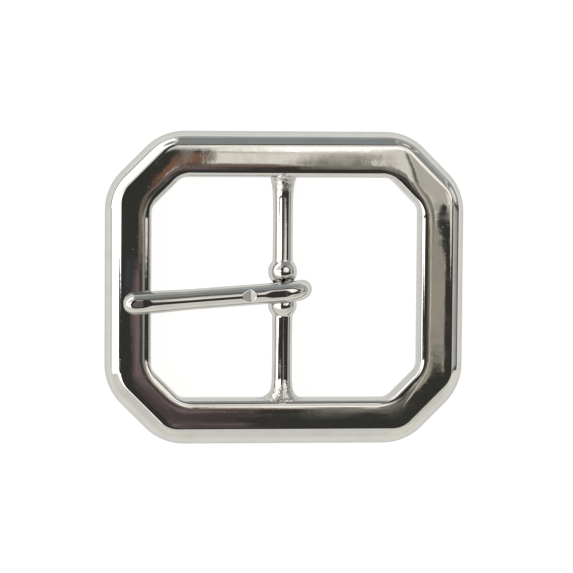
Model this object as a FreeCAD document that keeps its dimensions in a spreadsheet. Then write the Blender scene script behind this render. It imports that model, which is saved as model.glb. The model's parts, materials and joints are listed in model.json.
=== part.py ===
"""Centre bar belt buckle for a 40 mm strap, as a parametric FreeCAD document.

Three pieces: an eight-sided frame, a turned centre bar brazed into it, and a tongue
whose root is curled round the bar between two beads.

Frame of reference, in millimetres: the buckle lies on its back. X runs along the belt,
Y runs along the bar, Z points out of the front. The origin is the middle of the plane
that the back of the frame rests on.
"""

import FreeCAD
import Part
import Sketcher
import math
import os
from FreeCAD import Placement, Rotation, Vector

OUT = "parts"

# Driving dimensions: alias, value in millimetres or degrees, what it measures.
DIMENSIONS = [
    ("opening_length", 48.5, "opening of the frame along X"),
    ("opening_width", 40.0, "opening of the frame along Y, the widest strap"),
    ("rail_width", 8.25, "rail, from the opening to the outer edge"),
    ("rail_thickness", 6.0, "rail, from the back to the face"),
    ("corner_reach", 35.7, "from the centre square to a cut corner's outer edge"),
    ("corner_radius", 10.2, "outer rounding where a cut corner meets a rail"),
    ("back_edge_outer", 0.6, "rounding of the outer edge at the back"),
    ("back_edge_inner", 0.8, "rounding of the opening's edge at the back"),
    ("side_radius", 4.0, "bulge of the outer side"),
    ("side_reach", 1.17, "from the outer side in to the foot of the bevel"),
    ("bevel_angle", 35.0, "slope of the bevel above the back plane"),
    ("bevel_reach", 2.65, "from the outer side in to the face"),
    ("face_end", 5.62, "from the outer side in to where the face rolls off"),
    ("roll_radius", 7.5, "gentle roll-off of the face"),
    ("shoulder_radius", 1.07, "tight shoulder down to the opening's wall"),
    ("bar_height", 3.4, "axis of the bar above the back plane"),
    ("bar_left", 0.5, "axis of the bar, left of the frame's middle"),
    ("shaft_radius", 1.84, "bar between a foot and a bead"),
    ("neck_radius", 1.75, "bar between the beads, inside the tongue's loop"),
    ("bead_radius", 2.6, "each of the two beads"),
    ("bead_offset", 3.0, "from the bar's middle to each bead's centre"),
    ("bead_fillet", 0.8, "blend between a bead and the shaft"),
    ("foot_radius", 2.5, "flared foot where the bar meets the rail"),
    ("foot_length", 3.6, "length of the flare"),
    ("foot_overlap", 1.0, "foot carried into the rounding of the rail"),
    ("spigot_radius", 1.9, "end of the bar inside its socket"),
    ("spigot_length", 2.4, "depth of the socket"),
    ("tongue_width", 3.72, "tongue across its shank"),
    ("tongue_thickness", 3.0, "tongue's shank, front to back"),
    ("tip_width", 4.05, "spread of the flattened tip"),
    ("tip_thickness", 2.3, "flattened tip, front to back"),
    ("tip_reach", 28.9, "from the bar's axis to the end of the tip"),
    ("tip_gap", 0.1, "between the tip and the face it lies over"),
    ("loop_bore", 2.3, "inner radius of the loop above and below the bar"),
    ("loop_thickness", 2.5, "loop over the top of the bar"),
    ("loop_reach", 5.35, "from the bar's axis to the loop's far side"),
    ("loop_slack", 0.6, "extra room in the loop's far side"),
    ("tail_thickness", 1.05, "loop where it passes behind the bar"),
    ("tail_width", 2.4, "width of the loop behind the bar"),
    ("tail_turn", 293.0, "turn of the loop, from over the bar to the tail's end"),
    ("tongue_shift", -0.42, "tongue along the bar, from the bar's middle"),
    ("tongue_yaw", 4.3, "slant of the loose tongue in the buckle's plane"),
    ("tongue_roll", 3.0, "lean of the loose tongue to one side"),
    ("notch_place", 6.1, "from the bar's axis to the notch in the tongue"),
    ("notch_depth", 0.42, "depth of the notch"),
    ("notch_fore", 1.6, "notch, from its bottom towards the tip"),
    ("notch_aft", 1.0, "notch, from its bottom towards the loop"),
]

# Stations of the tongue's shank, as shares of its reach, from the tip to the bar.
TIP_STATIONS = (0.994, 0.98, 0.96, 0.93, 0.89, 0.84)
SHANK_STATIONS = (0.76, 0.68, 0.58, 0.47, 0.36, 0.26, 0.18, 0.11, 0.05)
LOOP_STATIONS = 21

# Shape of the tip and of the shank, as shares of their own sizes.
TIP_ROUNDING = 2.2  # how soon the tip comes to its full width
TIP_END_WIDTH = 0.12  # width at the very end
TIP_END_HEIGHT = 0.45  # height at the very end
TIP_DOME = 0.72  # the dome falls to this at the end
TIP_LIFT = 0.3  # share of the lost height that is taken from below
FLAT_BELOW = 0.3  # flat strip along the underside, of the width
WAIST_LIMIT = 0.86  # depth of the dome, of the thickness at most


def make_sheet(doc):
    """The spreadsheet of driving dimensions, one row each: name, value, meaning."""
    sheet = doc.addObject("Spreadsheet::Sheet", "dims")
    for row, (alias, value, meaning) in enumerate(DIMENSIONS, start=1):
        sheet.set(f"A{row}", alias)
        sheet.set(f"B{row}", str(value))
        sheet.set(f"C{row}", meaning)
        sheet.setAlias(f"B{row}", alias)
    doc.recompute()
    return {alias: float(sheet.get(alias)) for alias, _, _ in DIMENSIONS}


def origin_plane(body, role):
    """One of a body's own origin planes, by its role."""
    for feature in body.Origin.OriginFeatures:
        if feature.Role == role:
            return feature
    raise ValueError(role)


def new_sketch(body, name, role):
    """An empty sketch on one of the body's origin planes."""
    sketch = body.newObject("Sketcher::SketchObject", name)
    sketch.AttachmentSupport = [(origin_plane(body, role), "")]
    sketch.MapMode = "FlatFace"
    return sketch


def bind(sketch, name, expression, *constraint):
    """Adds a dimension to a sketch, names it and binds it to an expression."""
    index = sketch.addConstraint(Sketcher.Constraint(*constraint))
    sketch.renameConstraint(index, name)
    sketch.setExpression(f"Constraints.{name}", expression)


def line(start, end):
    """A line for a chain, with its first and last ends."""
    return Part.LineSegment(Vector(*start, 0), Vector(*end, 0)), 1, 2


def arc(centre, radius, start, sweep):
    """An arc for a chain, from a start angle through a signed sweep in degrees."""
    circle = Part.Circle(Vector(*centre, 0), Vector(0, 0, 1), radius)
    begin = math.radians(start)
    end = math.radians(start + sweep)
    if sweep > 0:
        return Part.ArcOfCircle(circle, begin, end), 1, 2
    return Part.ArcOfCircle(circle, end, begin), 2, 1


def chain(sketch, pieces, sharp=()):
    """Adds a closed run of pieces, tangent at each joint except after those in sharp."""
    indices = [sketch.addGeometry(piece[0], False) for piece in pieces]
    for place, index in enumerate(indices):
        after = (place + 1) % len(indices)
        kind = "Coincident" if place in sharp else "Tangent"
        ends = (index, pieces[place][2], indices[after], pieces[after][1])
        sketch.addConstraint(Sketcher.Constraint(kind, *ends))
    return indices


def polar(angle, length=1.0):
    """The point at an angle in degrees and a distance from the origin."""
    return length * math.cos(math.radians(angle)), length * math.sin(math.radians(angle))


def octagon(dims):
    """Outer edge of the frame as lines and arcs, from the middle of the right rail."""
    half_x = dims["opening_length"] / 2 + dims["rail_width"]
    half_y = dims["opening_width"] / 2 + dims["rail_width"]
    reaches = (half_x, dims["corner_reach"], half_y, dims["corner_reach"]) * 2
    radius = dims["corner_radius"]
    pieces = []
    start = (half_x, 0.0)
    for place, reach in enumerate(reaches):
        angle = 45 * place
        along = (reaches[(place + 1) % 8] - radius) * math.sqrt(2) - (reach - radius)
        out = polar(angle, reach - radius)
        up = polar(angle + 90, along)
        centre = (out[0] + up[0], out[1] + up[1])
        from_centre = polar(angle, radius)
        pieces.append(line(start, (centre[0] + from_centre[0], centre[1] + from_centre[1])))
        pieces.append(arc(centre, radius, angle, 45))
        from_centre = polar(angle + 45, radius)
        start = (centre[0] + from_centre[0], centre[1] + from_centre[1])
    pieces.append(line(start, (half_x, 0.0)))
    return pieces


def path_sketch(body, dims):
    """The frame's outer edge on the back plane, bound to the sheet."""
    sketch = new_sketch(body, "frame_path", "XY_Plane")
    indices = chain(sketch, octagon(dims), sharp=(16,))
    sides = indices[0::2]
    arcs = indices[1::2]
    for side in (sides[0], sides[4], sides[8]):
        sketch.addConstraint(Sketcher.Constraint("Vertical", side))
    for side in (sides[2], sides[6]):
        sketch.addConstraint(Sketcher.Constraint("Horizontal", side))
    sketch.addConstraint(Sketcher.Constraint("Angle", sides[1], math.radians(135)))
    sketch.addConstraint(Sketcher.Constraint("Perpendicular", sides[1], sides[3]))
    sketch.addConstraint(Sketcher.Constraint("Parallel", sides[1], sides[5]))
    sketch.addConstraint(Sketcher.Constraint("Perpendicular", sides[1], sides[7]))
    for other in arcs[1:]:
        sketch.addConstraint(Sketcher.Constraint("Equal", arcs[0], other))
    sketch.addConstraint(Sketcher.Constraint("PointOnObject", sides[0], 1, -1))
    half_x = "dims.opening_length / 2 + dims.rail_width"
    half_y = "dims.opening_width / 2 + dims.rail_width"
    size_x = dims["opening_length"] / 2 + dims["rail_width"]
    size_y = dims["opening_width"] / 2 + dims["rail_width"]
    bind(sketch, "right", half_x, "DistanceX", -1, 1, sides[0], 1, size_x)
    bind(sketch, "left", half_x, "DistanceX", sides[4], 1, -1, 1, size_x)
    bind(sketch, "top", half_y, "DistanceY", -1, 1, sides[2], 1, size_y)
    bind(sketch, "bottom", half_y, "DistanceY", sides[6], 1, -1, 1, size_y)
    for place in (1, 3, 5, 7):
        ends = ("Distance", -1, 1, sides[place], dims["corner_reach"])
        bind(sketch, f"corner_{place}", "dims.corner_reach", *ends)
    bind(sketch, "rounding", "dims.corner_radius", "Radius", arcs[0], dims["corner_radius"])
    return sketch


def rail_section(body, dims):
    """Section of the right rail: flat back, bevel outside, rolled shoulder inside."""
    wall = dims["opening_length"] / 2
    side = wall + dims["rail_width"]
    top = dims["rail_thickness"]
    outer = dims["back_edge_outer"]
    inner = dims["back_edge_inner"]
    round_side = dims["side_radius"]
    slope = dims["bevel_angle"]
    bevel_x = side - dims["side_reach"]
    turn = math.degrees(math.acos(1 - dims["side_reach"] / round_side))
    edge = side - dims["bevel_reach"]
    face_end = side - dims["face_end"]
    roll = dims["roll_radius"]
    shoulder = dims["shoulder_radius"]
    bevel_z = top - (bevel_x - edge) * math.tan(math.radians(slope))
    side_z = bevel_z - polar(turn, round_side)[1]
    lean = math.degrees(math.asin((face_end - wall - shoulder) / (roll - shoulder)))
    rolled = polar(90 + lean, roll)
    shoulder_z = top - roll + rolled[1] - polar(90 + lean, shoulder)[1]
    pieces = [
        line((wall + inner, 0), (side - outer, 0)),
        arc((side - outer, outer), outer, -90, 90),
        line((side, outer), (side, side_z)),
        arc((side - round_side, side_z), round_side, 0, turn),
        line((bevel_x, bevel_z), (edge, top)),
        line((edge, top), (face_end, top)),
        arc((face_end, top - roll), roll, 90, lean),
        arc((wall + shoulder, shoulder_z), shoulder, 90 + lean, 90 - lean),
        line((wall, shoulder_z), (wall, inner)),
        arc((wall + inner, inner), inner, 180, 90),
    ]
    sketch = new_sketch(body, "rail_section", "XZ_Plane")
    back, back_out, flank, flank_arc, bevel, face, roll_arc, shoulder_arc, inside, back_in = chain(
        sketch, pieces, sharp=(3, 4)
    )
    for piece in (back, face):
        sketch.addConstraint(Sketcher.Constraint("Horizontal", piece))
    for piece in (flank, inside):
        sketch.addConstraint(Sketcher.Constraint("Vertical", piece))
    sketch.addConstraint(Sketcher.Constraint("PointOnObject", back, 1, -1))
    radii = (
        ("back_edge_outer", back_out),
        ("side_radius", flank_arc),
        ("roll_radius", roll_arc),
        ("shoulder_radius", shoulder_arc),
        ("back_edge_inner", back_in),
    )
    for name, piece in radii:
        bind(sketch, name, f"dims.{name}", "Radius", piece, dims[name])
    half = "dims.opening_length / 2"
    bind(sketch, "wall", half, "DistanceX", -1, 1, inside, 1, wall)
    bind(sketch, "flank", f"{half} + dims.rail_width", "DistanceX", -1, 1, flank, 1, side)
    expression = f"{half} + dims.rail_width - dims.side_reach"
    bind(sketch, "bevel_foot", expression, "DistanceX", -1, 1, bevel, 1, bevel_x)
    expression = f"{half} + dims.rail_width - dims.bevel_reach"
    bind(sketch, "bevel_edge", expression, "DistanceX", -1, 1, face, 1, edge)
    expression = f"{half} + dims.rail_width - dims.face_end"
    bind(sketch, "roll_start", expression, "DistanceX", -1, 1, face, 2, face_end)
    bind(sketch, "height", "dims.rail_thickness", "DistanceY", -1, 1, face, 1, top)
    expression = "180 - dims.bevel_angle"
    bind(sketch, "bevel", expression, "Angle", bevel, math.radians(180 - slope))
    return sketch


def make_frame(doc, dims):
    """The eight-sided frame: one section swept round, and a socket for each end of the bar."""
    body = doc.addObject("PartDesign::Body", "frame")
    path = path_sketch(body, dims)
    section = rail_section(body, dims)
    doc.recompute()
    ring = body.newObject("PartDesign::AdditivePipe", "ring")
    ring.Profile = section
    ring.Spine = (path, [f"Edge{number + 1}" for number in range(17)])
    ring.Refine = True
    doc.recompute()
    sockets = new_sketch(body, "socket_section", "XZ_Plane")
    height = dims["bar_height"]
    radius = dims["spigot_radius"]
    left = dims["bar_left"]
    circle = sockets.addGeometry(Part.Circle(Vector(-left, height, 0), Vector(0, 0, 1), radius))
    bind(sockets, "left", "dims.bar_left", "DistanceX", circle, 3, -1, 1, left)
    bind(sockets, "height", "dims.bar_height", "DistanceY", -1, 1, circle, 3, height)
    bind(sockets, "radius", "dims.spigot_radius", "Radius", circle, radius)
    pocket = body.newObject("PartDesign::Pocket", "sockets")
    pocket.Profile = sockets
    pocket.SideType = "Symmetric"
    pocket.setExpression("Length", "dims.opening_width + 2 * dims.spigot_length")
    doc.recompute()
    body.Label = "frame"
    return body


def bar_section(body, dims):
    """Half of the bar's outline above its axis, from its middle to one end."""
    axis = dims["bar_height"]
    neck = dims["neck_radius"]
    bead = dims["bead_radius"]
    offset = dims["bead_offset"]
    blend = dims["bead_fillet"]
    shaft = dims["shaft_radius"]
    foot = dims["foot_radius"]
    wall = dims["opening_width"] / 2
    foot_end = wall + dims["foot_overlap"]
    end = wall + dims["spigot_length"]
    spigot = dims["spigot_radius"]
    flare = dims["foot_length"]
    rise = foot - shaft
    flare_radius = (flare**2 + rise**2) / (2 * rise)
    flare_sweep = math.degrees(math.asin(flare / flare_radius))
    bead_start = math.degrees(math.asin(neck / bead))
    meet = math.degrees(math.asin((shaft + blend) / (bead + blend)))
    blend_y = offset + polar(meet, bead + blend)[0]
    neck_y = offset - polar(bead_start, bead)[0]
    pieces = [
        line((0, axis), (0, axis + neck)),
        line((0, axis + neck), (neck_y, axis + neck)),
        arc((offset, axis), bead, 180 - bead_start, meet + bead_start - 180),
        arc((blend_y, axis + shaft + blend), blend, 180 + meet, 90 - meet),
        line((blend_y, axis + shaft), (wall - flare, axis + shaft)),
        arc((wall - flare, axis + shaft + flare_radius), flare_radius, -90, flare_sweep),
        line((wall, axis + foot), (foot_end, axis + foot)),
        line((foot_end, axis + foot), (foot_end, axis + spigot)),
        line((foot_end, axis + spigot), (end, axis + spigot)),
        line((end, axis + spigot), (end, axis)),
        line((end, axis), (0, axis)),
    ]
    sketch = new_sketch(body, "bar_section", "YZ_Plane")
    names = chain(sketch, pieces, sharp=(0, 1, 5, 6, 7, 8, 9, 10))
    middle, neck_line, bead_arc, blend_arc, shaft_line, flare_arc = names[:6]
    rim, foot_face, spigot_line, spigot_face, axis_line = names[6:]
    for piece in (neck_line, shaft_line, rim, spigot_line, axis_line):
        sketch.addConstraint(Sketcher.Constraint("Horizontal", piece))
    for piece in (middle, foot_face, spigot_face):
        sketch.addConstraint(Sketcher.Constraint("Vertical", piece))
    sketch.addConstraint(Sketcher.Constraint("PointOnObject", middle, 1, -2))
    sketch.addConstraint(Sketcher.Constraint("PointOnObject", bead_arc, 3, axis_line))
    bind(sketch, "height", "dims.bar_height", "DistanceY", -1, 1, middle, 1, axis)
    bind(sketch, "neck", "dims.neck_radius", "Distance", middle, neck)
    bind(sketch, "bead", "dims.bead_radius", "Radius", bead_arc, bead)
    bind(sketch, "bead_place", "dims.bead_offset", "DistanceX", -1, 1, bead_arc, 3, offset)
    bind(sketch, "blend", "dims.bead_fillet", "Radius", blend_arc, blend)
    expression = "dims.bar_height + dims.shaft_radius"
    bind(sketch, "shaft", expression, "DistanceY", -1, 1, shaft_line, 1, axis + shaft)
    half = "dims.opening_width / 2"
    expression = f"{half} - dims.foot_length"
    bind(sketch, "flare", expression, "DistanceX", -1, 1, shaft_line, 2, wall - flare)
    bind(sketch, "wall", half, "DistanceX", -1, 1, rim, 1, wall)
    expression = "dims.bar_height + dims.foot_radius"
    bind(sketch, "foot", expression, "DistanceY", -1, 1, rim, 1, axis + foot)
    bind(sketch, "overlap", "dims.foot_overlap", "Distance", rim, foot_end - wall)
    bind(sketch, "spigot", "dims.spigot_radius", "Distance", spigot_face, spigot)
    expression = f"{half} + dims.spigot_length"
    bind(sketch, "bar_end", expression, "DistanceX", -1, 1, spigot_face, 1, end)
    return sketch, axis_line


def make_bar(doc, dims, frame):
    """The turned bar: a half turned about its axis, mirrored, and seated on the frame."""
    body = doc.addObject("PartDesign::Body", "turned_bar")
    body.setExpression("Placement.Base.x", "-dims.bar_left")
    section, axis_line = bar_section(body, dims)
    doc.recompute()
    half = body.newObject("PartDesign::Revolution", "bar_half")
    half.Profile = section
    half.ReferenceAxis = (section, [f"Edge{axis_line + 1}"])
    half.Angle = 360
    doc.recompute()
    whole = body.newObject("PartDesign::Mirrored", "bar_whole")
    whole.Originals = [half]
    whole.MirrorPlane = (origin_plane(body, "XZ_Plane"), [""])
    body.Tip = whole
    doc.recompute()
    seated = doc.addObject("Part::Cut", "centre_bar")
    seated.Base = body
    seated.Tool = frame
    seated.Label = "centre_bar"
    doc.recompute()
    return seated


def eased(share):
    """A smooth step from 0 to 1."""
    return (1 - math.cos(math.pi * min(max(share, 0.0), 1.0))) / 2


def mixed(share, first, last):
    """A smooth passage from the first value to the last."""
    return first + (last - first) * eased(share)


def quarter(centre, first, last):
    """A quarter ellipse from first to last, which lie on its two axes."""
    curve = Part.BSplineCurve()
    poles = [first, first + last - centre, last]
    weights = [1.0, math.sqrt(0.5), 1.0]
    curve.buildFromPolesMultsKnots(poles, [3, 3], [0.0, 1.0], False, 2, weights)
    return curve.toShape()


def domed_section(place, outward, width, thickness):
    """A closed wire, domed on its outer side and narrower on the inner side at place."""
    across = Vector(0, 1, 0)
    half = width / 2
    flat = across * (FLAT_BELOW * half)
    offset = outward * (thickness - min(half, WAIST_LIMIT * thickness))
    waist = place + offset
    crown = place + outward * thickness
    near, far = waist - across * half, waist + across * half
    edges = [
        Part.LineSegment(place - flat, place + flat).toShape(),
        quarter(place + flat + offset, place + flat, far),
        quarter(waist, far, crown),
        quarter(waist, crown, near),
        quarter(place - flat + offset, near, place - flat),
    ]
    return Part.Wire(edges)


def tip_sections(dims):
    """Sections of the flattened, rounded tip that lies over the rail."""
    reach = dims["tip_reach"]
    under = dims["rail_thickness"] + dims["tip_gap"] - dims["bar_height"]
    thick = dims["tip_thickness"]
    round_reach = 1 - TIP_STATIONS[-1]
    sections = []
    for share in TIP_STATIONS:
        inside = (1 - share) / round_reach
        fullness = math.sqrt(1 - (1 - min(inside * TIP_ROUNDING, 1.0)) ** 2)
        dome = mixed(inside, TIP_DOME, 1.0)
        width = dims["tip_width"] * (TIP_END_WIDTH + (1 - TIP_END_WIDTH) * fullness)
        height = thick * dome * (TIP_END_HEIGHT + (1 - TIP_END_HEIGHT) * fullness)
        lift = TIP_LIFT * (thick * dome - height)
        place = Vector(-share * reach, 0, under + lift)
        sections.append(domed_section(place, Vector(0, 0, 1), width, height))
    return sections


def shank_sections(dims):
    """Sections of the shank, from the tip's root to the loop over the bar."""
    reach = dims["tip_reach"]
    under_tip = dims["rail_thickness"] + dims["tip_gap"] - dims["bar_height"]
    top_tip = under_tip + dims["tip_thickness"]
    top = dims["loop_bore"] + dims["loop_thickness"]
    under = top - dims["tongue_thickness"]
    sections = []
    for share in SHANK_STATIONS:
        toward_tip = (share - 0.3) / 0.55
        low = mixed(toward_tip, under, under_tip)
        if share < 0.2:
            low = mixed(share / 0.2, dims["loop_bore"], under)
        high = mixed(toward_tip, top, top_tip)
        width = mixed((share - 0.55) / 0.3, dims["tongue_width"], dims["tip_width"])
        place = Vector(-share * reach, 0, low)
        sections.append(domed_section(place, Vector(0, 0, 1), width, high - low))
    return sections


def loop_sections(dims):
    """Sections of the loop, over the bar, round its far side and back under it."""
    sections = []
    for station in range(LOOP_STATIONS):
        turn = dims["tail_turn"] * station / (LOOP_STATIONS - 1)
        angle = math.radians(90 - turn)
        outward = Vector(math.cos(angle), 0, math.sin(angle))
        side = max(math.cos(angle), 0.0) ** 2
        inner = dims["loop_bore"] + dims["loop_slack"] * side
        far_side = dims["loop_reach"] - dims["loop_bore"] - dims["loop_slack"]
        if turn < 90:
            thick = mixed(turn / 90, dims["loop_thickness"], far_side)
        else:
            thick = mixed((turn - 90) / 90, far_side, dims["tail_thickness"])
        width = mixed((turn - 45) / 120, dims["tongue_width"], dims["tail_width"])
        sections.append(domed_section(outward * inner, outward, width, thick))
    return sections


def make_tongue(doc, dims):
    """The tongue: a domed shank curled round the bar, with a notch across its top."""
    blank = doc.addObject("Part::Feature", "tongue_blank")
    wires = tip_sections(dims) + shank_sections(dims) + loop_sections(dims)
    blank.Shape = Part.makeLoft(wires, True, False)
    notch = doc.addObject("Part::Wedge", "tongue_notch")
    bounds = {
        "Xmin": "-2 * dims.notch_fore",
        "Xmax": "2 * dims.notch_aft",
        "Ymin": "-2 * dims.notch_depth",
        "Ymax": "0",
        "Zmin": "-dims.tongue_width",
        "Zmax": "dims.tongue_width",
        "X2min": "0",
        "X2max": "0",
        "Z2min": "-dims.tongue_width",
        "Z2max": "dims.tongue_width",
    }
    for name, expression in bounds.items():
        notch.setExpression(name, expression)
    notch.Placement = Placement(Vector(), Rotation(Vector(1, 0, 0), -90))
    notch.setExpression("Placement.Base.x", "-dims.notch_place")
    bottom = "dims.loop_bore + dims.loop_thickness - dims.notch_depth"
    notch.setExpression("Placement.Base.z", bottom)
    tongue = doc.addObject("Part::Cut", "tongue")
    tongue.Base = blank
    tongue.Tool = notch
    tongue.Label = "tongue"
    place = "create(<<vector>>; -dims.bar_left; dims.tongue_shift; dims.bar_height)"
    turn = "create(<<rotation>>; dims.tongue_yaw; 0; dims.tongue_roll)"
    tongue.setExpression("Placement", f"create(<<placement>>; {place}; {turn})")
    doc.recompute()
    return tongue


def check(doc, parts):
    """Stops if any object failed or any sub-part is not one sound solid."""
    for item in doc.Objects:
        if "Invalid" in item.State or "Error" in item.State:
            raise RuntimeError(f"{item.Name}: {item.State}")
    for part in parts:
        shape = part.Shape
        if shape.isNull() or not shape.isValid() or len(shape.Solids) != 1:
            raise RuntimeError(f"{part.Label} is not one sound solid")


def main():
    """Builds the document, checks it and writes one STEP file for each sub-part."""
    doc = FreeCAD.newDocument("belt_buckle")
    dims = make_sheet(doc)
    frame = make_frame(doc, dims)
    bar = make_bar(doc, dims, frame)
    tongue = make_tongue(doc, dims)
    doc.recompute()
    parts = (frame, bar, tongue)
    check(doc, parts)
    os.makedirs(OUT, exist_ok=True)
    for part in parts:
        part.Shape.exportStep(f"{OUT}/{part.Label}.step")
        box = part.Shape.BoundBox
        print(part.Label, round(part.Shape.Volume, 2), box)


main()
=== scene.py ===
"""Looks of a polished nickel centre-bar belt buckle, lying on its back on a pale floor.

Lengths are in millimetres until a mesh is made. X runs along the belt, Y along the bar
and Z out of the front. The back of the frame lies on z = 0.
"""

import json
import math

import bmesh
import bpy
from mathutils import Euler, Matrix, Vector, noise


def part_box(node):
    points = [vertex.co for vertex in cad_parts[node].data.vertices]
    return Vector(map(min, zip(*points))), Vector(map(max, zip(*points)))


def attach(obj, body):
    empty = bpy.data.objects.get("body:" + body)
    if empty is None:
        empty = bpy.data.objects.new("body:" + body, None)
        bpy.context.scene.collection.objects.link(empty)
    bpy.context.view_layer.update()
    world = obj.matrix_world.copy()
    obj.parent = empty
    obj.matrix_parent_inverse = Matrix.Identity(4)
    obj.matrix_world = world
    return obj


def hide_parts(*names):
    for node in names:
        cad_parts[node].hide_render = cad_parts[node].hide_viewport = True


MM = 0.001

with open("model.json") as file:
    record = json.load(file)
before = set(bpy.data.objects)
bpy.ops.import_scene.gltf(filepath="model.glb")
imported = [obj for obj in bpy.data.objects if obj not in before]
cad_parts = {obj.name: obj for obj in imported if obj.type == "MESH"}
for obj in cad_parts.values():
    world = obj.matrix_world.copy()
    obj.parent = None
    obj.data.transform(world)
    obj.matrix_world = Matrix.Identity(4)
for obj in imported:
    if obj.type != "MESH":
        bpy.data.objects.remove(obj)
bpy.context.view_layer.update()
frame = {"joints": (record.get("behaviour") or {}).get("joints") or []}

# Frame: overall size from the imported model, the section's own sizes in mm and degrees.
low, high = (Vector(corner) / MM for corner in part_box("frame"))
HALF_X = high.x
HALF_Y = high.y
THICKNESS = high.z
RAIL = 8.25
CORNER_REACH = 35.7
BACK_OUTER = 0.6
BACK_INNER = 0.8
SIDE_RADIUS = 3.2
SIDE_SLOPE = 45.0
CREASE_RADIUS = 3.0
BEVEL_SLOPE = 33.0
BEVEL_LENGTH = 0.98
EDGE_RADIUS = 1.2
CROWN_OUTER = 2.2
CROWN_INNER = 2.0
ROLL_RADIUS = 3.6
ROLL_TURN = 13.0
SHOULDER_RADIUS = 1.05

# How far the edge between bevel and face runs off centre, on the upper and the lower half,
# and its inset. Fitted to the reflections, not known of the object.
EDGE_SHIFT = Vector((0.08, 0.15))
EDGE_SHIFT_LOW = Vector((0.08, 0.30))
EDGE_INSET = 2.75

# Corner rounding of the frame, from the outer side in across the front: (inset, radius).
CORNER_RADII = (
    (0.0, 9.9),
    (1.2, 8.6),
    (2.6, 4.4),
    (3.2, 3.6),
    (5.0, 4.8),
    (7.0, 7.0),
    (7.8, 4.6),
    (8.25, 2.4),
)

# How far the faces of the right and top rails lean outward in degrees, from where the lean
# starts. Fitted to the reflections, not known of the object.
FACE_LEAN = Vector((1.6, 0.4))
LEAN_START = Vector((21.5, 17.5))
LEAN_BLEND = 3.0

# Unevenness left by polishing: (size of a wave, its depth). The front is lowered by
# POLISH_LOSS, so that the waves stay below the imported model's height.
POLISH_BROAD = (9.0, 0.010)
POLISH_FINE = (2.8, 0.0009)
POLISH_LOSS = 0.011

# Bar.
BAR_X, _, AXIS = (part / MM for part in frame["joints"][0]["pos_m"])
NECK = 1.72
SHAFT = 1.83
WAIST = 0.04
BEAD = 2.6
BEAD_OFFSET = 3.0
BEAD_BLEND = 0.8
FOOT = 2.25
FOOT_LENGTH = 3.6
FLARE_POWER = 1.5
FLARE_LIMIT = 1.15
BAR_END = 20.9

# Braze at the feet: its length, how far it spreads at each foot and rises on each side, and
# its lumps.
BRAZE = 1.9
BRAZE_SPREAD = {1: 0.15, -1: 1.7}
BRAZE_UNEVEN = 1.5
BRAZE_ABOVE = 0.12
BRAZE_BELOW = 0.35
LUMP_HEIGHT = 0.05
LUMP_DENSITY = 2.3
LUMP_REACH = 3.2

# Tongue.
TONGUE_WIDTH = 3.72
TONGUE_DEPTH = 3.0
TIP_WIDTH = 4.05
TIP_DEPTH = 2.3
TIP_REACH = 28.9
TIP_GAP = 0.1
TIP_ROUND = 2.15
TIP_STEPS = 16
TIP_END_DEPTH = 0.3
TIP_LIFT = 0.2
LOOP_BORE = 2.3
LOOP_DEPTH = 2.5
LOOP_REACH = 5.35
LOOP_SLACK = 0.6
TAIL_DEPTH = 1.05
TAIL_WIDTH = 2.4
TAIL_TURN = 293.0
WAIST_LIMIT = 0.86
SQUARENESS = 0.82
TONGUE_PLACE = Vector((BAR_X, -0.42, AXIS))
TONGUE_TURN = Euler((math.radians(3.0), 0.0, math.radians(4.3)))
FLAT_DEPTH = 0.12
FLAT_RISE = 0.10
TIP_FLAT_END = 3.7
ROOT_FLAT = (-2.3, 0.2)
FLAT_SOFT = 0.05
TIP_FLAT_REACH = 7.0
ROOT_FLAT_REACH = 5.0
NOTCH = 6.1
NOTCH_DEPTH = 0.42
NOTCH_FORE = 1.6
NOTCH_AFT = 1.0
NOTCH_TOLERANCE = 0.02
CREASE_ANGLE = 38


def polar(angle, length=1.0):
    """The point at an angle in degrees and a distance from the origin."""
    return Vector((math.cos(math.radians(angle)), math.sin(math.radians(angle)))) * length


def eased(share):
    """A smooth step from 0 to 1."""
    share = min(max(share, 0.0), 1.0)
    return share * share * (3 - 2 * share)


def mixed(share, first, last):
    """A smooth passage from the first value to the last."""
    return first + (last - first) * eased(share)


def along(pairs, place):
    """The value at a place along a list of (place, value) pairs, eased between them."""
    for (start, first), (end, last) in zip(pairs, pairs[1:]):
        if place <= end:
            return mixed((place - start) / (end - start), first, last)
    return pairs[-1][1]


def skin(name, rings, looped=False, sharp=None):
    """A mesh object through rings of points in millimetres; the ends are capped unless looped."""
    mesh = bpy.data.meshes.new(name)
    shape = bmesh.new()
    rows = [[shape.verts.new(point * MM) for point in ring] for ring in rings]
    count = len(rows[0])
    pairs = list(zip(rows, rows[1:]))
    if looped:
        pairs.append((rows[-1], rows[0]))
    for near, far in pairs:
        for place in range(count):
            after = (place + 1) % count
            shape.faces.new((near[place], near[after], far[after], far[place]))
    if not looped:
        for row in (rows[0], rows[-1]):
            middle = shape.verts.new(sum((vert.co for vert in row), Vector()) / count)
            for place in range(count):
                shape.faces.new((row[place], row[(place + 1) % count], middle))
    bmesh.ops.recalc_face_normals(shape, faces=shape.faces)
    shape.to_mesh(mesh)
    shape.free()
    mesh.polygons.foreach_set("use_smooth", [True] * len(mesh.polygons))
    if sharp:
        mesh.set_sharp_from_angle(angle=math.radians(sharp))
    piece = bpy.data.objects.new(name, mesh)
    bpy.context.scene.collection.objects.link(piece)
    return piece


# Frame


def trace(place, heading, segments):
    """Points along a run of (length, turn in degrees, steps); heading 0 is inward, 90 up."""
    points = [place]
    for length, turn, steps in segments:
        for _ in range(steps):
            heading += turn / steps / 2
            place = place + polar(heading, length / steps)
            heading += turn / steps / 2
            points.append(place)
    return points


def bend(radius, turn, steps):
    """A segment for trace: an arc, turning inward and down."""
    return radius * math.radians(abs(turn)), -abs(turn), steps


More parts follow.
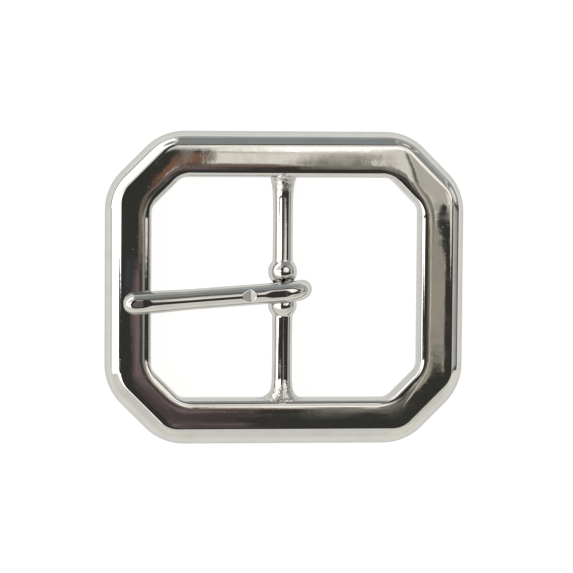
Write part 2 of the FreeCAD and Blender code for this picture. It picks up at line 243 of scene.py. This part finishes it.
def rail_section():
    """The rail's closed section as (inset from the outer side, height), from the back up."""
    top = [
        bend(SIDE_RADIUS, 90 - SIDE_SLOPE, 12),
        bend(CREASE_RADIUS, SIDE_SLOPE - BEVEL_SLOPE, 5),
        (BEVEL_LENGTH, 0, 4),
        bend(EDGE_RADIUS, BEVEL_SLOPE - CROWN_OUTER, 10),
    ]
    inner = [
        bend(ROLL_RADIUS, ROLL_TURN - CROWN_INNER, 5),
        bend(SHOULDER_RADIUS, 90 - ROLL_TURN, 12),
    ]
    outer_end = trace(Vector((0, 0)), 90, top)[-1]
    inner_end = trace(Vector((0, 0)), -CROWN_INNER, inner)[-1]
    face = RAIL - outer_end.x - inner_end.x
    # Each stretch of the crown takes a share of the face's width and of its turn.
    crown = [
        (face * 0.4, -CROWN_OUTER * 0.75, 4),
        (face * 0.3, -CROWN_OUTER * 0.25, 3),
        (face * 0.3, -CROWN_INNER, 4),
    ]
    rise = max(point.y for point in trace(Vector((0, 0)), 90, top + crown))
    start = Vector((0, THICKNESS - rise))
    front = trace(start, 90, top + crown + inner)
    wall = front[-1].y - BACK_INNER
    flat = front[-1].x - BACK_INNER - BACK_OUTER
    back = [
        (wall, 0, 4),
        bend(BACK_INNER, 90, 6),
        (flat, 0, 5),
        bend(BACK_OUTER, 90, 6),
        (start.y - BACK_OUTER, 0, 4),
    ]
    return front, trace(front[-1], -90, back)[1:-1]


def octagon(inset, radius, straight_steps=56, arc_steps=14):
    """Points round an octagon inset from the frame's outer edge, its corners rounded."""
    reaches = [size - inset for size in (HALF_X, CORNER_REACH, HALF_Y, CORNER_REACH)] * 2
    arcs = []
    for place, reach in enumerate(reaches):
        angle = 45 * place
        climb = (reaches[(place + 1) % 8] - radius) * math.sqrt(2) - (reach - radius)
        arcs.append((angle, polar(angle, reach - radius) + polar(angle + 90, climb)))
    points = []
    end = arcs[-1][1] + polar(arcs[-1][0] + 45, radius)
    for angle, centre in arcs:
        start = centre + polar(angle, radius)
        points += [end.lerp(start, step / straight_steps) for step in range(straight_steps)]
        points += [
            centre + polar(angle + 45 * step / arc_steps, radius) for step in range(arc_steps)
        ]
        end = centre + polar(angle + 45, radius)
    return points


def polish_wave(point):
    """How far hand polishing leaves the surface from true, in millimetres."""
    size, depth = POLISH_BROAD
    broad = noise.noise(point / size) * depth
    size, depth = POLISH_FINE
    fine = noise.noise(point / size + Vector((9, 4, 7))) * depth
    return broad + fine


def hand_finish(inset):
    """Share of the edge's drift at an inset: all of it at the edge, none at either side."""
    return eased(inset / EDGE_INSET) * eased((RAIL - inset) / (RAIL - EDGE_INSET))


def lean(point):
    """Drop in height where the right and top rails lean outward, in millimetres."""
    drop = 0.0
    for place, start, angle in zip(point, LEAN_START, FACE_LEAN):
        past = max(place - start, 0.0)
        run = past**2 / (2 * LEAN_BLEND) if past < LEAN_BLEND else past - LEAN_BLEND / 2
        drop += run * math.tan(math.radians(angle))
    return drop


def make_frame():
    """The frame: the rail's section carried round, its corners softest at the outside."""
    front, back = rail_section()
    loops = []
    for point in front:
        path = octagon(point.x, along(CORNER_RADII, point.x))
        finish = hand_finish(point.x)
        loop = []
        for place in path:
            place = place + (EDGE_SHIFT if place.y > 0 else EDGE_SHIFT_LOW) * finish
            loop.append(Vector((place.x, place.y, point.y)))
        loops.append(loop)
    first, last = CORNER_RADII[0][1], CORNER_RADII[-1][1]
    for point in back:
        path = octagon(point.x, first + (last - first) * point.x / RAIL)
        loops.append([Vector((place.x, place.y, point.y)) for place in path])
    for loop in loops[: len(front)]:
        for point in loop:
            point.z += polish_wave(point) - POLISH_LOSS - lean(point)
    rings = [list(ring) for ring in zip(*loops)]
    return skin("frame_polished", rings, looped=True)


# Bar


def bar_radius(place):
    """Radius of the turned bar at a distance from its middle, feet aside."""
    meet = math.asin((SHAFT + BEAD_BLEND) / (BEAD + BEAD_BLEND))
    blend_centre = BEAD_OFFSET + (BEAD + BEAD_BLEND) * math.cos(meet)
    neck_end = BEAD_OFFSET - math.sqrt(BEAD**2 - NECK**2)
    if place <= neck_end:
        return NECK
    if place <= BEAD_OFFSET + BEAD * math.cos(meet):
        return math.sqrt(max(BEAD**2 - (place - BEAD_OFFSET) ** 2, 0.0))
    if place <= blend_centre:
        return SHAFT + BEAD_BLEND - math.sqrt(BEAD_BLEND**2 - (place - blend_centre) ** 2)
    wall = HALF_Y - RAIL
    share = (place - blend_centre) / (wall - FOOT_LENGTH - blend_centre)
    waist = WAIST * math.sin(math.pi * min(max(share, 0.0), 1.0))
    flare = max(place - (wall - FOOT_LENGTH), 0.0) / FOOT_LENGTH
    return SHAFT - waist + (FOOT - SHAFT) * min(flare, FLARE_LIMIT) ** FLARE_POWER


def bar_ring(place, side, points=56):
    """One ring of the bar; its last stretch spreads along the rail as braze metal does."""
    wall = HALF_Y - RAIL
    radius = bar_radius(place)
    into = min(max(place - (wall - BRAZE), 0.0) / BRAZE, 1.0)
    hollow = 1 - math.sqrt(1 - into**2)
    ring = []
    for step in range(points):
        turn = polar(360 * step / points)
        spread = (BRAZE_UNEVEN if turn.x * side > 0 else 1.0) * BRAZE_SPREAD[side]
        wide = radius + spread * hollow
        tall = radius + (BRAZE_ABOVE if turn.y > 0 else BRAZE_BELOW) * hollow
        lump = 0.0
        if place > wall - LUMP_REACH:
            height = LUMP_HEIGHT * eased(into * 2 + 0.3)
            lump = height * noise.noise(Vector((turn.x, turn.y, place)) * LUMP_DENSITY)
        x = BAR_X + turn.x * (wide + lump)
        z = AXIS + turn.y * (tall + lump)
        ring.append(Vector((x, side * place, z)))
    return ring


def make_bar():
    """The turned bar, from one blind socket to the other."""
    wall = HALF_Y - RAIL
    middle = [0.25 * step for step in range(int((wall - FOOT_LENGTH) / 0.25))]
    beads = [BEAD_OFFSET + 0.1 * step for step in range(-22, 24)]
    feet = [wall - FOOT_LENGTH + 0.12 * step for step in range(30)]
    mouth = [wall - 0.2, wall - 0.1, wall - 0.04, wall, wall + 0.3, BAR_END]
    places = sorted({round(place, 3) for place in middle + beads + feet + mouth})
    rings = [bar_ring(place, -1) for place in reversed(places) if place > 0]
    rings += [bar_ring(place, 1) for place in places]
    return skin("centre_bar_polished", rings)


# Tongue


def tongue_ring(place, outward, width, depth, points=88):
    """One ring of the tongue: domed outside, narrow and flat on its inner side."""
    half = width / 2
    waist = depth - min(half, WAIST_LIMIT * depth)
    across = Vector((0, 1, 0))
    ring = []
    for step in range(points):
        turn = polar(360 * (step + 0.5) / points)
        if turn.y >= 0:
            side = turn.x * half
            height = waist + turn.y * (depth - waist)
        else:
            side = math.copysign(abs(turn.x) ** SQUARENESS, turn.x) * half
            height = waist - abs(turn.y) ** SQUARENESS * waist
        ring.append(place + across * side + outward * height)
    return ring


def shank_profile(share):
    """(underside, top, width) of the shank at a share of the tongue's reach."""
    under_tip = THICKNESS + TIP_GAP - AXIS
    top = LOOP_BORE + LOOP_DEPTH
    toward_tip = (share - 0.3) / 0.55
    under = mixed(toward_tip, top - TONGUE_DEPTH, under_tip)
    if share < 0.2:
        under = mixed(share / 0.2, LOOP_BORE, top - TONGUE_DEPTH)
    crest = mixed(toward_tip, top, under_tip + TIP_DEPTH)
    width = mixed((share - 0.55) / 0.3, TONGUE_WIDTH, TIP_WIDTH)
    return under, crest, width


def pressed(ring, height):
    """A ring of the tongue with everything above a height eased down to it."""
    for point in ring:
        over = (point.z - height) / FLAT_SOFT
        if over >= 1:
            point.z = height
        elif over > -1:
            point.z -= FLAT_SOFT * (over + 1) ** 2 / 4
    return ring


def tip_flat(back):
    """Height of the small flat behind the tip, by distance from the tip's end."""
    top = THICKNESS + TIP_GAP - AXIS + TIP_DEPTH
    return top - FLAT_DEPTH + FLAT_RISE * max(back - TIP_FLAT_END, 0.0)


def root_flat(x):
    """Height of the small flat over the bar, which runs out of the metal at both ends."""
    start, end = ROOT_FLAT
    rise = FLAT_RISE * max(start - x, x - end, 0.0)
    return LOOP_BORE + LOOP_DEPTH - FLAT_DEPTH + rise


def tip_rings():
    """The flattened, rounded end of the tongue."""
    rings = []
    for step in range(1, TIP_STEPS + 1):
        angle = math.radians(90 * step / TIP_STEPS)
        back = TIP_ROUND * (1 - math.cos(angle))
        fullness = math.sin(angle)
        share = 1 - back / TIP_REACH
        under, crest, width = shank_profile(share)
        depth = (crest - under) * (TIP_END_DEPTH + (1 - TIP_END_DEPTH) * fullness)
        lift = TIP_LIFT * ((crest - under) - depth)
        place = Vector((-share * TIP_REACH, 0, under + lift))
        ring = tongue_ring(place, Vector((0, 0, 1)), width * fullness, depth)
        rings.append(pressed(ring, tip_flat(back)))
    return rings


def notch_floor(x):
    """Height of the notch's floor above the bar's axis, or None away from the notch."""
    if not -NOTCH - 2 * NOTCH_FORE < x < -NOTCH + 2 * NOTCH_AFT:
        return None
    run = NOTCH_FORE if x < -NOTCH else NOTCH_AFT
    return LOOP_BORE + LOOP_DEPTH - NOTCH_DEPTH * (1 - abs(x + NOTCH) / run)


def shank_rings():
    """The straight part of the tongue, with the notch cut across its top."""
    start = TIP_REACH - TIP_ROUND
    coarse = [start - 0.3 * step for step in range(1, int((start - 0.3) / 0.3))]
    fine = [NOTCH + NOTCH_FORE - 0.1 * step for step in range(27)]
    places = sorted({round(place, 3) for place in coarse + fine}, reverse=True)
    rings = []
    for reach in places:
        under, crest, width = shank_profile(reach / TIP_REACH)
        place = Vector((-reach, 0, under))
        ring = tongue_ring(place, Vector((0, 0, 1)), width, crest - under)
        if TIP_REACH - reach < TIP_FLAT_REACH:
            pressed(ring, tip_flat(TIP_REACH - reach))
        if reach < ROOT_FLAT_REACH:
            pressed(ring, root_flat(-reach))
        floor = notch_floor(-reach)
        if floor is not None:
            for point in ring:
                point.z = min(point.z, floor)
        rings.append(ring)
    return rings


def loop_rings(count=110):
    """The loop, over the bar, round its far side and back under it."""
    rings = []
    for step in range(count + 1):
        turn = TAIL_TURN * step / count
        angle = math.radians(90 - turn)
        outward = Vector((math.cos(angle), 0, math.sin(angle)))
        inner = LOOP_BORE + LOOP_SLACK * max(math.cos(angle), 0.0) ** 2
        far_side = LOOP_REACH - LOOP_BORE - LOOP_SLACK
        if turn < 90:
            depth = mixed(turn / 90, LOOP_DEPTH, far_side)
        else:
            depth = mixed((turn - 90) / 90, far_side, TAIL_DEPTH)
        width = mixed((turn - 45) / 120, TONGUE_WIDTH, TAIL_WIDTH)
        ring = tongue_ring(outward * inner, outward, width, depth)
        if turn < 45:
            pressed(ring, root_flat(ring[0].x))
        rings.append(ring)
    return rings


def make_tongue():
    """The tongue, slanted and leaning as it lies loose on the bar."""
    rings = tip_rings() + shank_rings() + loop_rings()
    turn = TONGUE_TURN.to_matrix()
    rings = [[turn @ point + TONGUE_PLACE for point in ring] for ring in rings]
    tongue = skin("tongue_polished", rings, sharp=CREASE_ANGLE)
    across = turn @ Vector((0, 1, 0))
    tongue.data.materials.append(nickel("nickel_tongue", 3))
    tongue.data.materials.append(filed_nickel())
    for face in tongue.data.polygons:
        place = turn.transposed() @ (face.center / MM - TONGUE_PLACE)
        floor = notch_floor(place.x)
        if floor is None:
            continue
        on_floor = abs(place.z - floor) < NOTCH_TOLERANCE
        if on_floor and abs(face.normal.dot(across)) < NOTCH_TOLERANCE:
            face.material_index = 1
    return tongue


# Materials

# Height in metres of one unit of bump.
PLATE_BUMP = 0.0000045
FILE_BUMP = 0.00003


class Nodes:
    """Adds nodes to a node tree and links them."""

    def __init__(self, tree):
        self.tree = tree
        tree.nodes.clear()

    def add(self, kind, inputs=None, **settings):
        """A node with its settings; inputs maps a socket to a value or another socket."""
        node = self.tree.nodes.new(kind)
        for name, value in settings.items():
            setattr(node, name, value)
        for name, value in (inputs or {}).items():
            if isinstance(value, bpy.types.NodeSocket):
                self.tree.links.new(value, node.inputs[name])
            else:
                node.inputs[name].default_value = value
        return node

    def sums(self, operation, first, second=0.0, third=0.0):
        """The output of a Math node."""
        inputs = {0: first, 1: second, 2: third}
        return self.add("ShaderNodeMath", inputs, operation=operation).outputs[0]

    def product(self, first, second):
        """The product of two values."""
        return self.sums("MULTIPLY", first, second)

    def ramp(self, value, low, high, first=0.0, last=1.0):
        """Value moved smoothly from one range to another."""
        inputs = {"Value": value, "From Min": low, "From Max": high}
        inputs.update({"To Min": first, "To Max": last})
        node = self.add("ShaderNodeMapRange", inputs, interpolation_type="SMOOTHSTEP")
        return node.outputs["Result"]

    def mix(self, factor, first, last):
        """Two colours mixed by a factor."""
        node = self.add("ShaderNodeMix", data_type="RGBA")
        sockets = (node.inputs[0], node.inputs[6], node.inputs[7])
        for socket, value in zip(sockets, (factor, first, last)):
            if isinstance(value, bpy.types.NodeSocket):
                self.tree.links.new(value, socket)
            else:
                socket.default_value = value
        return node.outputs[2]


def nickel(name, seed, feet=False):
    """Bright nickel plate: faint haze, polishing lines, a few pits, and mottled feet."""
    material = bpy.data.materials.new(name)
    material.use_nodes = True
    nodes = Nodes(material.node_tree)
    place = nodes.add("ShaderNodeTexCoord").outputs["Object"]
    shifted = nodes.add(
        "ShaderNodeMapping", {"Vector": place, "Location": (seed * 0.013, seed * 0.007, 0.0)}
    ).outputs["Vector"]

    def cloud(scale, detail=3.0, stretch=(1.0, 1.0, 1.0), roughness=0.5):
        """Noise with a size in units per metre."""
        mapped = nodes.add("ShaderNodeMapping", {"Vector": shifted, "Scale": stretch})
        inputs = {
            "Vector": mapped.outputs["Vector"],
            "Scale": scale,
            "Detail": detail,
            "Roughness": roughness,
        }
        return nodes.add("ShaderNodeTexNoise", inputs).outputs["Fac"]

    haze = nodes.ramp(cloud(260.0, 4.0), 0.42, 0.72)
    lines = nodes.ramp(cloud(900.0, 2.0, (0.05, 1.6, 1.0)), 0.60, 0.72)
    crossing = nodes.ramp(cloud(700.0, 2.0, (1.5, 0.07, 1.0)), 0.62, 0.74)
    pits = nodes.ramp(cloud(2600.0, 1.0), 0.74, 0.80)
    scratches = nodes.sums("MAXIMUM", lines, crossing)
    rough = nodes.sums("MULTIPLY_ADD", haze, 0.05, 0.028)
    rough = nodes.sums("MULTIPLY_ADD", scratches, 0.02, rough)
    height = nodes.sums("MULTIPLY", cloud(420.0, 2.0), 0.9)
    height = nodes.sums("MULTIPLY_ADD", pits, -0.5, height)
    tint = nodes.mix(haze, (0.615, 0.602, 0.575, 1.0), (0.585, 0.572, 0.545, 1.0))
    if feet:
        along_bar = nodes.add("ShaderNodeSeparateXYZ", {"Vector": place}).outputs["Y"]
        reach = nodes.sums("ABSOLUTE", along_bar)
        wall = (HALF_Y - RAIL) * MM
        near = nodes.ramp(reach, wall - 3.4 * MM, wall - 1.6 * MM)
        lumps = nodes.ramp(cloud(1500.0, 3.0, roughness=0.65), 0.3, 0.7)
        height = nodes.sums("MULTIPLY_ADD", nodes.sums("MULTIPLY", lumps, near), 9.0, height)
        rough = nodes.sums("MULTIPLY_ADD", near, 0.08, rough)
        tint = nodes.mix(nodes.sums("MULTIPLY", near, 0.5), tint, (0.52, 0.50, 0.47, 1.0))
    bump = nodes.add(
        "ShaderNodeBump", {"Strength": 1.0, "Distance": PLATE_BUMP, "Height": height}
    ).outputs["Normal"]
    shader = nodes.add(
        "ShaderNodeBsdfPrincipled",
        {
            "Base Color": tint,
            "Roughness": rough,
            "Normal": bump,
            "Metallic": 1.0,
            "Specular Tint": (0.72, 0.72, 0.71, 1.0),
        },
    )
    nodes.add("ShaderNodeOutputMaterial", {"Surface": shader.outputs["BSDF"]})
    return material


def filed_nickel():
    """The notch's two faces: file marks under the plate."""
    material = bpy.data.materials.new("nickel_filed")
    material.use_nodes = True
    nodes = Nodes(material.node_tree)
    place = nodes.add("ShaderNodeTexCoord").outputs["Object"]
    mapped = nodes.add("ShaderNodeMapping", {"Vector": place, "Scale": (1.0, 0.12, 0.3)})
    inputs = {"Vector": mapped.outputs["Vector"], "Scale": 5200.0, "Detail": 2.0}
    marks = nodes.add("ShaderNodeTexNoise", inputs).outputs["Fac"]
    bump = nodes.add(
        "ShaderNodeBump", {"Strength": 1.0, "Distance": FILE_BUMP, "Height": marks}
    ).outputs["Normal"]
    tint = nodes.mix(marks, (0.44, 0.43, 0.41, 1.0), (0.58, 0.57, 0.54, 1.0))
    rough = nodes.ramp(marks, 0.3, 0.7, 0.5, 0.65)
    shader = nodes.add(
        "ShaderNodeBsdfPrincipled",
        {"Base Color": tint, "Roughness": rough, "Normal": bump, "Metallic": 1.0},
    )
    nodes.add("ShaderNodeOutputMaterial", {"Surface": shader.outputs["BSDF"]})
    return material


# Surroundings

# The floor gives off light, so much that shadows all but vanish.
FLOOR_SIZE = 6000.0
FLOOR_GLOW = 0.92

# A slight waviness of the surroundings: its density, and its depth in degrees.
RIPPLE_DENSITY = 9.0
RIPPLE = 1.5


def make_floor():
    """A plain white floor under the buckle."""
    square = ((-1, -1), (1, -1), (1, 1), (-1, 1))
    corners = [Vector((x, y, 0)) * FLOOR_SIZE * MM for x, y in square]
    mesh = bpy.data.meshes.new("floor")
    mesh.from_pydata(corners, [], [(0, 1, 2, 3)])
    floor = bpy.data.objects.new("floor", mesh)
    bpy.context.scene.collection.objects.link(floor)
    material = bpy.data.materials.new("floor_white")
    material.use_nodes = True
    nodes = Nodes(material.node_tree)
    matt = nodes.add("ShaderNodeBsdfDiffuse", {"Color": (0.15, 0.15, 0.15, 1.0)})
    white = {"Color": (1.0, 1.0, 0.99, 1.0), "Strength": FLOOR_GLOW}
    glow = nodes.add("ShaderNodeEmission", white)
    both = nodes.add("ShaderNodeAddShader", {0: matt.outputs[0], 1: glow.outputs[0]})
    nodes.add("ShaderNodeOutputMaterial", {"Surface": both.outputs[0]})
    mesh.materials.append(material)


# Camera: which way it leans from straight above, in degrees, and where it stands.
CAMERA_LEAN = (-5.8, 4.0)
CAMERA_FAR = 500.0
CAMERA_ROLL = 0.42
CAMERA_LENS = 174.0
CAMERA_AIM = Vector((0.24, 0.28, 3.4))


def make_camera():
    """A long lens, nearly straight above."""
    data = bpy.data.cameras.new("camera")
    data.lens = CAMERA_LENS
    data.sensor_width = 36.0
    data.clip_start = 0.01
    camera = bpy.data.objects.new("camera", data)
    bpy.context.scene.collection.objects.link(camera)
    back = Vector([math.tan(math.radians(angle)) for angle in CAMERA_LEAN] + [1.0]).normalized()
    up = (Vector((0, 1, 0)) - back * back.y).normalized()
    right = up.cross(back)
    turn = Matrix((right, up, back)).transposed().to_4x4()
    turn = turn @ Matrix.Rotation(math.radians(CAMERA_ROLL), 4, "Z")
    camera.matrix_world = Matrix.Translation((CAMERA_AIM + back * CAMERA_FAR) * MM) @ turn
    bpy.context.scene.camera = camera


def make_surroundings():
    """A pale gradient with soft-edged layers on it, fitted to the object's reflections.

    This isn't plain studio light. The layers are placed from the camera's mirrored direction,
    and their places, sizes and tones were adjusted until the metal mirrored the bands and
    spots wanted from the camera's angle. They don't stand for a known room, and from other
    angles what they give is arbitrary.
    """
    world = bpy.data.worlds.new("studio")
    bpy.context.scene.world = world
    world.use_nodes = True
    nodes = Nodes(world.node_tree)
    direction = nodes.add("ShaderNodeTexCoord").outputs["Generated"]
    parts = nodes.add("ShaderNodeSeparateXYZ", {"Vector": direction}).outputs

    def degrees(part, mirrored):
        """Angle from straight up along one axis, less the camera's mirrored direction."""
        angle = nodes.sums("ARCTAN2", part, parts["Z"])
        return nodes.sums("MULTIPLY_ADD", angle, 180 / math.pi, -mirrored)

    waves = {"Vector": direction, "Scale": RIPPLE_DENSITY, "Detail": 3.0}
    ripple = nodes.add("ShaderNodeTexNoise", waves).outputs["Fac"]
    shift = nodes.sums("MULTIPLY_ADD", ripple, 2 * RIPPLE, -RIPPLE)
    across = nodes.sums("ADD", degrees(parts["X"], -CAMERA_LEAN[0]), shift)
    upward = nodes.sums("ADD", degrees(parts["Y"], -CAMERA_LEAN[1]), shift)
    elevation = nodes.sums("MULTIPLY", nodes.sums("ARCSINE", parts["Z"]), 180 / math.pi)

    def patch(left, right, bottom, top, soft):
        """A soft-edged rectangle in degrees from the camera's mirrored direction."""
        sides = nodes.product(
            nodes.ramp(across, left - soft, left + soft),
            nodes.ramp(across, right + soft, right - soft),
        )
        ends = nodes.product(
            nodes.ramp(upward, bottom - soft, bottom + soft),
            nodes.ramp(upward, top + soft, top - soft),
        )
        return nodes.product(sides, ends)

    def spot(x, y, radius_x, radius_y, soft):
        """A soft-edged ellipse in degrees from the camera's mirrored direction."""
        dx = nodes.sums("DIVIDE", nodes.sums("SUBTRACT", across, x), radius_x)
        dy = nodes.sums("DIVIDE", nodes.sums("SUBTRACT", upward, y), radius_y)
        squares = nodes.sums("ADD", nodes.product(dx, dx), nodes.product(dy, dy))
        return nodes.ramp(nodes.sums("SQRT", squares), 1 + soft, 1 - soft)

    height = nodes.ramp(elevation, 0.0, 60.0)
    colour = nodes.mix(height, (0.84, 0.84, 0.82, 1), (0.95, 0.94, 0.92, 1))
    fine = nodes.add("ShaderNodeTexNoise", {"Vector": direction, "Scale": 55.0, "Detail": 2.0})
    mottle = nodes.ramp(fine.outputs["Fac"], 0.5, 0.68)
    # Each layer is (where, colour), and covers the ones before it. A colour of 1 is white.
    layers = (
        # Wide layers, mirrored by the bevels, the sides and the round parts. The first is the
        # bright panel on the left. The third and fourth dim it for other angles.
        (
            nodes.product(patch(-96, -25, -30, 100, 4), nodes.ramp(elevation, 9, 13)),
            (2.6, 2.6, 2.6, 1),
        ),
        (patch(-110, -77, -30, 6, 2), (0.86, 0.86, 0.84, 1)),
        (
            nodes.product(patch(-96, -25, 18, 100, 5), nodes.ramp(elevation, 27, 31)),
            (1.0, 0.99, 0.97, 1),
        ),
        (patch(-43, -15, 51, 100, 2), (0.95, 0.94, 0.92, 1)),
        (
            nodes.product(nodes.ramp(elevation, 30, 12), nodes.ramp(upward, -30, -50)),
            (1.04, 1.02, 0.95, 1),
        ),
        (patch(-58, -22, -4.5, -0.4, 0.4), (0.05, 0.049, 0.045, 1)),
        (
            nodes.product(nodes.ramp(elevation, 9, 5), nodes.ramp(upward, 20, 60)),
            (0.36, 0.38, 0.39, 1),
        ),
        (patch(-30, 70, 56, 84, 3), (0.34, 0.37, 0.38, 1)),
        (patch(40, 74, -62, 62, 5), (0.75, 0.73, 0.68, 1)),
        (patch(74, 89, -60, 50, 2), (0.12, 0.12, 0.12, 1)),
        (spot(18, 26, 44, 30, 0.05), (0.05, 0.048, 0.045, 1)),
        (patch(-23, 60, -26, 1.2, 0.5), (0.048, 0.049, 0.044, 1)),
        (patch(-20, 0, 0, 14, 1.5), (0.048, 0.049, 0.043, 1)),
        (spot(22, 24, 24, 20, 0.03), (1.5, 1.46, 1.38, 1)),
        # Narrower layers, mirrored mostly by the flat faces.
        (patch(-12, -0.9, 32, 56, 3), (0.24, 0.24, 0.23, 1)),
        (patch(-5, 12, 7.5, 26, 1.0), (0.95, 0.93, 0.90, 1)),
        (patch(-1.9, 0, 8.5, 12, 0.7), (1.5, 1.48, 1.42, 1)),
        (patch(-1.3, 12, 1.0, 9, 0.12), (1.08, 1.04, 0.96, 1)),
        (patch(-0.4, 12, 6.0, 10.5, 0.7), (1.9, 1.88, 1.82, 1)),
        (patch(5.2, 15, 1.5, 8, 1.0), (0.66, 0.635, 0.57, 1)),
        (spot(1.2, 1.6, 0.9, 3.6, 0.6), (0.30, 0.29, 0.26, 1)),
        (patch(1.75, 4.4, 1.2, 7, 0.12), (0.98, 0.95, 0.88, 1)),
        (patch(10, 34, 0.0, 5, 0.4), (1.1, 1.06, 0.98, 1)),
        (spot(10.6, -0.6, 1.8, 2.7, 0.1), (0.048, 0.049, 0.044, 1)),
        (spot(-0.4, 5.9, 0.9, 0.35, 0.5), (0.70, 0.65, 0.59, 1)),
        (patch(2.4, 8.8, -2.0, 1.3, 0.3), (0.45, 0.42, 0.355, 1)),
        (patch(2.4, 3.4, -2.4, 1.6, 0.3), (0.74, 0.70, 0.60, 1)),
        (spot(4.4, 3.8, 0.8, 3.0, 0.6), (0.17, 0.175, 0.17, 1)),
        (spot(8.4, 1.3, 2.0, 0.75, 0.2), (0.048, 0.049, 0.044, 1)),
        (spot(4.1, 1.22, 1.3, 0.13, 0.3), (0.06, 0.06, 0.055, 1)),
        (patch(-4.4, -1.0, -9, -0.3, 0.5), (0.10, 0.077, 0.08, 1)),
        (
            nodes.product(patch(-4.6, -0.4, -9, -0.3, 0.8), mottle),
            (0.19, 0.145, 0.158, 1),
        ),
        (spot(-2.7, -1.0, 1.2, 1.1, 0.7), (0.25, 0.185, 0.2, 1)),
        (spot(-1.75, 0.9, 0.4, 0.7, 0.4), (0.20, 0.185, 0.165, 1)),
        (spot(-0.9, 1.5, 1.0, 1.2, 0.5), (0.24, 0.175, 0.15, 1)),
        (spot(-1.9, 4.2, 0.5, 1.6, 0.5), (0.26, 0.14, 0.09, 1)),
        (spot(-3.0, -6.3, 0.8, 0.8, 0.5), (0.21, 0.175, 0.18, 1)),
        (spot(-5.6, 0.1, 1.4, 0.3, 0.7), (0.065, 0.078, 0.09, 1)),
    )
    for mask, tone in layers:
        colour = nodes.mix(mask, colour, tone)
    background = nodes.add("ShaderNodeBackground", {"Color": colour, "Strength": 1.0})
    nodes.add("ShaderNodeOutputWorld", {"Surface": background.outputs["Background"]})


# How each piece is made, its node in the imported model, its body, its slot and its material;
# the tongue brings its own two materials.
PIECES = (
    (make_frame, "frame", "frame", "frame_nickel", nickel("nickel_frame", 1)),
    (make_bar, "centre_bar", "frame", "bar_nickel", nickel("nickel_bar", 2, feet=True)),
    (make_tongue, "tongue", "tongue", "tongue_nickel", None),
)

for make, node, body, slot, material in PIECES:
    piece = make()
    if material:
        piece.data.materials.append(material)
    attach(piece, body)
    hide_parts(node)

make_floor()
make_surroundings()
make_camera()
bpy.context.scene.view_settings.view_transform = "Standard"
